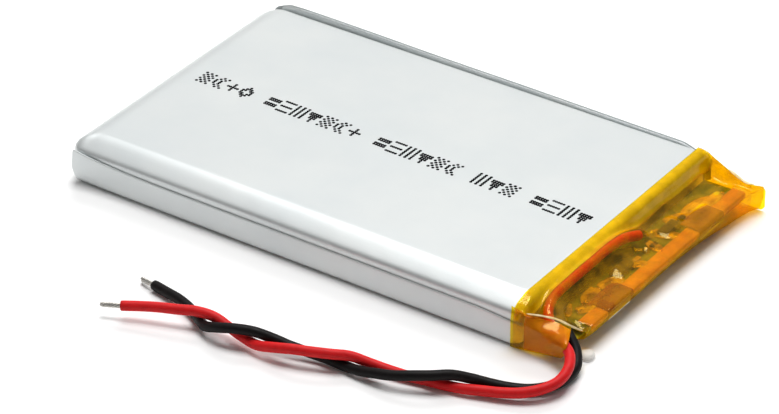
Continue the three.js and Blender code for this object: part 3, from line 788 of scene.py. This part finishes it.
def supports():
    """Height of what the tape can rest on, over the grid."""
    height = np.zeros((len(GRID_X), len(GRID_Y)))
    xs, ys = np.meshgrid(GRID_X, GRID_Y, indexing="ij")

    def raise_to(where, level):
        height[where] = np.maximum(height, level)[where]

    cup = 4.2 + np.sqrt(np.clip(0.64 - np.clip(xs - CUP_END + 0.8, 0, 0.8) ** 2, 0, None))
    near = np.interp(ys, [-17.95, -17.5, -16.4, -15.9], [4.1, 4.5, 4.85, 5.0])
    raise_to((xs < CUP_END) & (abs(ys) < CUP_HALF), np.minimum(cup, near))
    for x, top in ((TAPE_START, 4.5), (CUP_END - 0.6, 4.1), (CUP_END, 3.4)):
        raise_to((xs < x + 0.6) & (xs > x - 0.4) & (ys > HALF - 0.4) & (ys < HALF), top)
    raise_to((xs < TERRACE_END) & (abs(ys) < 17), TERRACE_TOP)
    raise_to((xs > BOARD_LOW[0]) & (xs < BOARD_HIGH[0]) & (ys > BOARD_LOW[1]) & (ys < BOARD_HIGH[1]),
             BOARD_TOP)
    for node in ("protection_ic", "dual_mosfet", "sense_resistor", "filter_resistor",
                 "filter_capacitor", "red_solder_joint", "black_solder_joint"):
        low, high = corners(node)
        raise_to((xs > low[0]) & (xs < high[0]) & (ys > low[1]) & (ys < high[1]), high[2])
    for tab in (NEAR_TAB, FAR_TAB):
        raise_to((xs > 28.7) & (xs < 31.0) & (abs(ys - tab) < 2.1), BOARD_TOP + 0.3)
    raise_to((xs > 29.4) & (xs < 31.15) & (ys > -14.2) & (ys < 17), BOARD_TOP + 0.18)
    for route in (RED_ROUTE, BLACK_ROUTE):
        for px, py, pz in spline(route[:13], 0.12):
            i, j = np.searchsorted(GRID_X, px), np.searchsorted(GRID_Y, py)
            near_x, near_y = slice(max(i - 7, 0), i + 7), slice(max(j - 7, 0), j + 7)
            away = (xs[near_x, near_y] - px) ** 2 + (ys[near_x, near_y] - py) ** 2
            over = np.where(away < 0.36, pz + np.sqrt(np.clip(0.36 - away, 0, None)), 0)
            height[near_x, near_y] = np.maximum(height[near_x, near_y], over)
    return height


def tape_heights():
    """The film pulled tight over its supports and pressed a little way into the hollows."""
    rest = supports()
    xs, ys = np.meshgrid(GRID_X, GRID_Y, indexing="ij")
    near_y, near_z, far_y, far_z = (
        np.array([border(line, x, k) for x in GRID_X])[:, None]
        for line in (NEAR_CREASE, FAR_BORDER) for k in (1, 2))
    edge_x = np.array([outer_edge(y) for y in GRID_Y])[None, :]
    edge_z = np.array([bend([(-15, 2.42), (13, 2.45), (16, 2.7), (17.6, 2.95)], y)
                       for y in GRID_Y])[None, :]
    height = np.maximum(rest, 2.4)
    fixed = np.zeros(rest.shape, bool)
    for where, level in (
        (ys <= near_y, near_z + 0 * ys), (ys >= far_y, far_z + 0 * ys),
        (xs >= edge_x, edge_z + 0 * xs), (xs <= TAPE_START + 0.15, rest),
    ):
        height[where] = np.broadcast_to(level, height.shape)[where]
        fixed |= where
    for _ in range(ROUNDS):
        mean = (np.roll(height, 1, 0) + np.roll(height, -1, 0)
                + np.roll(height, 1, 1) + np.roll(height, -1, 1)) / 4
        pull = mean - PRESS * (mean - rest)
        height = np.where(fixed, height, np.maximum(rest, pull))
    return height


TAPE_HEIGHTS = tape_heights()


def tape_height(x, y):
    i = np.clip((x - GRID_X[0]) / STEP, 0, len(GRID_X) - 1.001)
    j = np.clip((y - GRID_Y[0]) / STEP, 0, len(GRID_Y) - 1.001)
    a, b = int(i), int(j)
    u, v = i - a, j - b
    h = TAPE_HEIGHTS
    return ((h[a, b] * (1 - u) + h[a + 1, b] * u) * (1 - v)
            + (h[a, b + 1] * (1 - u) + h[a + 1, b + 1] * u) * v)


def web_outward(x, z):
    """How far the near side of the tape stands out, over the leads behind it."""
    out = bend([(24.3, 18.62), (30.4, 18.55), (31.2, 18.3)], x)
    reach = 0.0
    for px, py, pz in LEAD_IN_WEB:
        away = (px - x) ** 2 + ((pz - z) * 0.75) ** 2
        reach = max(reach, (-py + 0.66 - out) * math.exp(-away / 0.5))
    return out + reach


LEAD_IN_WEB = spline(RED_ROUTE[9:12], 0.3)
WEB_LIP = [(30.0, -16.25, 3.14), (30.5, -17.2, 3.15), (31.0, -18.2, 3.15), (31.3, -19.0, 3.0),
           (31.3, -19.3, 2.6), (31.2, -19.2, 2.0), (30.85, -18.85, 1.45), (30.36, -18.6, 0.87)]


def web_point(first_x, u, v):
    """A point of the near web, from the cell (u 0) to the leads (1), from its crease (v 0) down."""
    crease_x = first_x + (30.0 - first_x) * u
    foot_x = first_x + (30.36 - first_x) * u
    top = border(NEAR_CREASE, crease_x, 2) + 0.04
    foot = bend([(24.3, 0.02), (25.2, 0.05), (27.6, 0.4), (30.35, 0.85)], foot_x)
    x = crease_x + (foot_x - crease_x) * v
    z = top + (foot - top) * v
    y = border(NEAR_CREASE, crease_x, 1)
    y += (-web_outward(x, z) - y) * float(smoothstep(0, 0.3, v))
    return np.array((x, y, z))


WEB_ROWS, WEB_COLUMNS = 44, 26


def web_grid(first_x, first_v, last_v, inward):
    """The near web as a grid of points, between two heights on it."""
    points = []
    for u in np.linspace(0, 1, WEB_ROWS):
        for v in np.linspace(first_v, last_v, WEB_COLUMNS):
            lip = np.array([np.interp(v, np.linspace(0, 1, len(WEB_LIP)), [p[k] for p in WEB_LIP])
                            for k in range(3)])
            point = web_point(first_x, u, v)
            point += (lip - web_point(first_x, 1, v)) * float(smoothstep(0.5, 1, u))
            point[1] += inward - 0.04 * (crumple(point[0], point[2], 1.9, 4) - 0.5) * min(v * 5, 1)
            points.append(tuple(point))
    return points


def add_wrap(name, material, first_x, first_web_x, far_end, lift, replaces=()):
    """One wrap of tape: the sheet over the top, down the outer edge and back under the cell,
    with the web that closes the near side and the one at the far side."""
    top_rows, side_rows = 58, 190
    points = []
    stations = np.linspace(0, 1, side_rows)
    for t in stations:
        for u in np.linspace(0, 1, top_rows):
            y = -15.3 + 33 * t
            edge = outer_edge(y)
            x = first_x + (edge - first_x) * u
            y0, y1 = border(NEAR_CREASE, x, 1), border(FAR_BORDER, x, 1)
            y = y0 + (y1 - y0) * t
            loose = float(smoothstep(CUP_END - 0.2, CUP_END + 1.5, x))
            fold = (crumple(x, y * 0.7, 3.2, 5) * 0.10 + crumple(x * 1.4, y, 1.3, 6) * 0.02) * loose
            z = tape_height(x, y) + 0.07 + lift + fold * (0.35 if x > 29.3 else 1)
            points.append((x, y, z))
        x, y, z = points[-1]
        low = bend([(-15, 1.42), (2, 1.38), (8, 0.95), (13, 0.35), (17.7, 0.08)], y)
        tuck = bend([(-15, 0.15), (2, 0.2), (10, 0.5), (17.7, 0.55)], y)
        side = lift * 0.5
        fold = 0.05 * crumple(y, 3, 1.1, 9)
        points += [(x + 0.06 - side, y, z - 0.12), (x + 0.03 - side + fold, y, (z + low) / 2 + 0.1),
                   (x - tuck * 0.6 - side, y, low + 0.12), (x - tuck - side, y, low),
                   (29.6, y, min(low, 0.92)), (28.0, y, min(low * 0.9, 0.8)),
                   (26.4, y, min(low * 0.7, 0.55)), (24.9, y, 0.06), (TAPE_START, y, 0.0)]
    columns = top_rows + 9
    faces = grid_faces(side_rows, columns)
    start = len(points)
    points += web_grid(first_web_x, 0, 1, -lift)
    faces += grid_faces(WEB_ROWS, WEB_COLUMNS, start)
    start = len(points)
    far_rows, far_columns = 40, 14
    for u in np.linspace(0, 1, far_rows):
        for v in np.linspace(0, 1, far_columns):
            x = first_x + (far_end - first_x) * u
            top = border(FAR_BORDER, x, 2) + 0.04
            low = bend([(24.3, 0.02), (26, 0.12), (29, 0.12), (32.7, 0.04)], x)
            corner = 0.5 * max(0, (x - 32.0) / 0.7) ** 3      # round tip of the loose end
            z = top - corner + (low + corner - top + corner) * v
            out = border(FAR_BORDER, x, 1)
            y = out + 0.05 * (crumple(x, z, 1.5, 7) - 0.5) * min(v * 5, 1) + lift
            points.append((x, y, z))
    faces += grid_faces(far_rows, far_columns, start)
    return add_film(name, points, faces, material, 0.04, replaces)


add_wrap("outer_tape", FILM, TAPE_START, TAPE_START, TAPE_HIGH[0], 0.0, ["polyimide_tape"])
add_wrap("inner_tape", FILM_INNER, CUP_END + 0.3, TAPE_START + 0.3, TAPE_HIGH[0] - 1.6, -0.05)


def add_first_turn():
    """The edge of the first turn, pressed on to the end of the cup under the wraps."""
    rows, columns = 160, 16
    points = []
    for t in np.linspace(0, 1, rows):
        for x in np.linspace(TAPE_START + 0.08, CUP_END + 0.5 + 0.12 * rough(t * 30, 0, 0, 2.5, 6), columns):
            y0, y1 = border(NEAR_CREASE, x, 1) + 0.15, border(FAR_BORDER, x, 1) - 0.15
            y = y0 + (y1 - y0) * t
            points.append((x, y, tape_height(x, y) + 0.045))
    return add_film("tape_first_turn", points, grid_faces(rows, columns), FILM_START, 0.02)


add_first_turn()


def add_gusset():
    """The gathered layers of film inside the near web, which hide the leads behind them."""
    points = web_grid(CUP_END + 0.4, 0.06, 0.97, 0.02)
    return add_film("tape_gusset", points, grid_faces(WEB_ROWS, WEB_COLUMNS), FILM_GUSSET, 0.03)


add_gusset()


def add_band(name, y_middle, node):
    """A short piece of tape folded over a tab and over the board's outer edge."""
    rows = 26
    profile = spline([(28.5, 0, BOARD_TOP + 0.2), (29.4, 0, BOARD_TOP + 0.34),
                      (30.4, 0, BOARD_TOP + 0.3), (31.05, 0, BOARD_TOP + 0.2),
                      (31.12, 0, 1.9), (30.9, 0, 1.35)], 0.2)
    points = []
    for v in np.linspace(-1, 1, rows):
        for x, _, z in profile:
            y = y_middle + 2.4 * v + 0.15 * rough(x, v, 0, 1.2, 3)
            points.append((x, y, z + 0.05 * crumple(x, y, 0.9, 2) - 0.08 * v ** 4))
    return add_film(name, points, grid_faces(rows, len(profile)), FILM_BAND, 0.05, [node])


add_band("near_band", NEAR_TAB, "tape_band_near")
add_band("far_band", FAR_TAB, "tape_band_far")


def add_hem():
    """The doubled edge of the tape, pressed flat on the outer part of the board."""
    points = []
    stations = np.linspace(-14.1, 16.6, 120)
    profile = [(29.42, BOARD_TOP + 0.09), (29.46, BOARD_TOP + 0.16), (30.2, BOARD_TOP + 0.17),
               (30.9, BOARD_TOP + 0.16), (31.02, BOARD_TOP + 0.06), (31.0, 1.75)]
    for y in stations:
        points += [(x + 0.03 * rough(0, y, 0, 2, 4), y, z) for x, z in profile]
    return add_film("tape_hem", points, grid_faces(len(stations), len(profile)), FILM_HEM, 0.05)


add_hem()


def add_folds():
    """Small folds and blisters of film pressed between the wraps and the board."""
    points, faces = [], []
    folds = [                        # middle x and y, length, width, turn in degrees, height
        (28.4, 11.4, 2.3, 1.3, 82, 0.34), (27.6, 8.4, 1.7, 0.7, 60, 0.22),
        (29.0, 13.8, 1.5, 0.8, 100, 0.2), (28.2, 4.9, 1.5, 0.9, 20, 0.3),
        (28.6, 2.2, 1.2, 0.7, -15, 0.26), (28.9, -1.6, 1.0, 0.8, 35, 0.3),
        (28.4, -6.2, 1.5, 0.9, 70, 0.28), (28.0, -9.4, 1.7, 0.9, 105, 0.3),
        (28.9, -11.5, 1.2, 0.8, 60, 0.26), (27.5, -12.9, 1.2, 0.5, 120, 0.3),
    ]
    for number, (x, y, length, width, turn, height) in enumerate(folds):
        start = len(points)
        c, s = math.cos(math.radians(turn)), math.sin(math.radians(turn))
        rows, columns = 15, 11
        for u in np.linspace(-1, 1, rows):
            for v in np.linspace(-1, 1, columns):
                edge = math.sqrt(max(1 - u * u * 0.75, 0.05))
                a = u * length * (1 + 0.12 * rough(v, number, 0, 0.8, 3))
                b = v * width * edge * (1 + 0.15 * rough(u, number, 0, 0.8, 4))
                px, py = x + a * c - b * s, y + a * s + b * c
                dome = (1 - u * u) * (1 - v * v) * 0.6 + max(0, 0.4 - abs(v + 0.35 * u)) * 0.8
                z = BOARD_TOP + 0.12 + height * dome + 0.06 * rough(px, py, 0, 0.5, number)
                points.append((px, py, max(min(z, tape_height(px, py) + 0.05), BOARD_TOP + 0.06)))
        faces += grid_faces(rows, columns, start)
    return add_film("tape_folds", points, faces, FILM_FOLD, 0.03)


def add_crease_painted_highlight(name, line, wide, tilt):
    """A pinched fold of film along the edge of the wrap; its pale cream colour is a painted highlight along
    the crease.
    """
    points = []
    path = spline(line, 0.15)
    for k, (x, y, z) in enumerate(path):
        taper = min(1, k / 4, (len(path) - 1 - k) / 4) ** 0.5
        width = wide * (0.65 + 0.5 * crumple(x, y, 1.0, 3)) * taper
        for t in np.linspace(-1, 1, 7):
            points.append((x + 0.3 * tilt[0] * t * width, y + tilt[0] * t * width,
                           z + 0.13 + tilt[1] * t * width - 0.12 * t * t * width))
    return add_film(name, points, grid_faces(len(path), 7), FILM_CREASE_PAINTED_HIGHLIGHT, 0.03)


add_folds()
# both creases carry the pale cream film, a painted highlight along the edges of the wrap
add_crease_painted_highlight("near_crease", NEAR_CREASE[1:-1], 0.14, (1, 0.15))
add_crease_painted_highlight("far_crease", FAR_BORDER[3:6], 0.14, (1, 0.2))


# ---- glue ----
def add_glue():
    """A lumpy drop, flat where it sits on the surface."""
    low, high = corners("glue_dab")
    centre = (low + high) / 2
    half = (high - low) / 2
    points = []
    rings, sides = 12, 24
    for i in range(rings + 1):
        tilt = math.pi * i / rings
        for k in range(sides):
            turn = 2 * math.pi * k / sides
            d = np.array((math.sin(tilt) * math.cos(turn), math.sin(tilt) * math.sin(turn),
                          math.cos(tilt)))
            swell = 1 + 0.22 * rough(*d, 0.6, 5)
            point = centre + d * half * swell
            point[2] = max(point[2], 0.01)
            points.append(point)
    faces = grid_faces(rings + 1, sides, 0, around=True)
    glue = add_mesh("glue_drop", points, faces, GLUE, ["glue_dab"])
    return refine(glue)


add_glue()


# ---- floor, light and world ----
def add_floor():
    """A plain pale floor just under the cell."""
    n = Nodes("floor")
    tone = n.ramp(n.noise(60, 2), (0.3, 0.90), (0.7, 0.92))
    material = n.done(n.principled(Base_Color=tone, Roughness=0.9))
    mesh = bpy.data.meshes.new("floor")
    r, z = 1500 * MM, -0.03 * MM
    mesh.from_pydata([(-r, -r, z), (r, -r, z), (r, r, z), (-r, r, z)], [], [(0, 1, 2, 3)])
    mesh.materials.append(material)
    floor = bpy.data.objects.new("floor", mesh)
    bpy.context.scene.collection.objects.link(floor)


def add_softbox(name, place, size, watts, mirrored=True):
    data = bpy.data.lights.new(name, "AREA")
    data.shape = "RECTANGLE"
    data.size, data.size_y = size
    data.energy = watts
    light = bpy.data.objects.new(name, data)
    light.location = place
    light.visible_glossy = mirrored
    light.rotation_euler = (-Vector(place)).to_track_quat("-Z", "Y").to_euler()
    bpy.context.scene.collection.objects.link(light)


def set_world():
    """A dim studio with a paler wall behind the cell, which its flat face mirrors."""
    world = bpy.data.worlds.new("studio")
    world.use_nodes = True
    nodes, links = world.node_tree.nodes, world.node_tree.links
    place = nodes.new("ShaderNodeTexCoord")
    toward = nodes.new("ShaderNodeVectorMath")
    toward.operation = "DOT_PRODUCT"
    toward.inputs[1].default_value = (-0.48, 0.70, 0.53)
    ramp = nodes.new("ShaderNodeValToRGB")
    elements = ramp.color_ramp.elements
    elements.new(0.5)
    for element, (position, level) in zip(elements, ((0, 0.16), (0.5, 0.30), (1, 0.55))):
        element.position = position
        element.color = (level, level * 0.998, level * 0.985, 1)
    links.new(place.outputs["Generated"], toward.inputs[0])
    links.new(toward.outputs["Value"], ramp.inputs["Fac"])
    links.new(ramp.outputs["Color"], nodes["Background"].inputs["Color"])
    bpy.context.scene.world = world


add_floor()
add_softbox("overhead", (-0.07, 0.15, 0.70), (0.46, 0.34), 4.3)
add_softbox("behind", (-0.25, 0.52, 0.42), (0.5, 0.3), 3.4, mirrored=False)
set_world()
bpy.context.scene.view_settings.view_transform = "Standard"
bpy.context.scene.cycles.transparent_max_bounces = 32      # for the stacked turns of film
